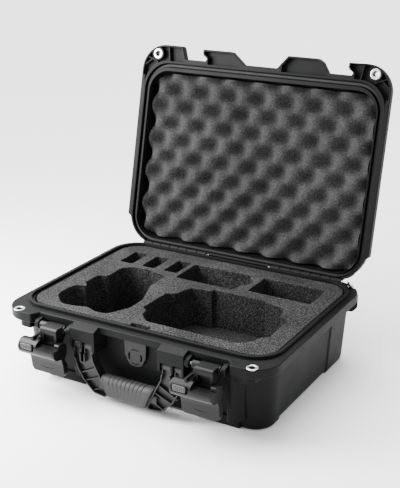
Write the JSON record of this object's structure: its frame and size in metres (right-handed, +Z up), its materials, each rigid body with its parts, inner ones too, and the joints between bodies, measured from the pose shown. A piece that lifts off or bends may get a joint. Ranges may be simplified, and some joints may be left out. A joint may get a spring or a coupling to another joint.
{
  "type": "drone carrying case",
  "caption": "Hard polymer carrying case with a hinged lid, swing handle, draw latches and foam pockets cut for a camera drone and its controller.",
  "frame": {"origin": "middle of the case's underside, on the surface it stands on", "axes": "+X to the right seen from the front, -Y towards the handle and latches, +Z up; the lid opens about an axis along X at the back"},
  "size_m": [0.363, 0.3797, 0.3636],
  "materials": {
    "shell_black": "moulded, fine texture",
    "latch_black": "moulded, satin",
    "grip_grey": "ribbed, matt",
    "foam_grey": "open-cell polyurethane foam",
    "crate_grey": "egg-crate polyurethane foam",
    "seal_black": "matt",
    "steel": "stainless, satin"
  },
  "bodies": {
    "base": {"base_shell": "shell_black", "base_foam": "foam_grey", "base_pad": "foam_grey", "valve_cover": "latch_black", "valve_core": "steel", "valve_seal": "seal_black", "base_eyelet_left": "steel", "base_eyelet_right": "steel", "strap_eyelet": "steel", "hinge_pin_left": "steel", "hinge_pin_right": "steel", "handle_pin_left": "steel", "handle_pin_right": "steel", "latch_pin_left": "steel", "latch_pin_right": "steel"},
    "lid": {"lid_shell": "shell_black", "lid_foam": "crate_grey", "lid_gasket": "seal_black", "lid_eyelet_left": "steel", "lid_eyelet_right": "steel"},
    "handle": {"handle_frame": "shell_black", "handle_grip": "grip_grey"},
    "link_left": {"latch_link_left": "latch_black"},
    "lever_left": {"latch_lever_left": "latch_black", "lever_pin_left": "steel"},
    "slide_left": {"latch_slide_left": "shell_black"},
    "link_right": {"latch_link_right": "latch_black"},
    "lever_right": {"latch_lever_right": "latch_black", "lever_pin_right": "steel"},
    "slide_right": {"latch_slide_right": "shell_black"}
  },
  "joints": [
    {"name": "lid_hinge", "type": "hinge", "parent": "base", "child": "lid", "pos_m": [0, 0.1255, 0.094], "axis": [1, 0, 0], "range_deg": [0, 103.16]},
    {"name": "handle_swing", "type": "hinge", "parent": "base", "child": "handle", "pos_m": [0, -0.14, 0.068], "axis": [1, 0, 0], "range_deg": [-95, 0]},
    {"name": "latch_left_link", "type": "hinge", "parent": "base", "child": "link_left", "pos_m": [-0.105, -0.142, 0.08], "axis": [1, 0, 0], "range_deg": [-90, 0]},
    {"name": "latch_left_lever", "type": "hinge", "parent": "link_left", "child": "lever_left", "pos_m": [-0.105, -0.155, 0.063], "axis": [1, 0, 0], "range_deg": [0, 90]},
    {"name": "latch_left_slide", "type": "slide", "parent": "lever_left", "child": "slide_left", "axis": [1, 0, 0], "range_m": [0, 0.0025]},
    {"name": "latch_right_link", "type": "hinge", "parent": "base", "child": "link_right", "pos_m": [0.105, -0.142, 0.08], "axis": [1, 0, 0], "range_deg": [-90, 0]},
    {"name": "latch_right_lever", "type": "hinge", "parent": "link_right", "child": "lever_right", "pos_m": [0.105, -0.155, 0.063], "axis": [1, 0, 0], "range_deg": [0, 90]},
    {"name": "latch_right_slide", "type": "slide", "parent": "lever_right", "child": "slide_right", "axis": [1, 0, 0], "range_m": [0, 0.0025]}
  ],
  "couplings": [
    {"joint": "latch_left_lever", "follows": "latch_left_link", "ratio": -1},
    {"joint": "latch_right_lever", "follows": "latch_right_link", "ratio": -1}
  ]
}
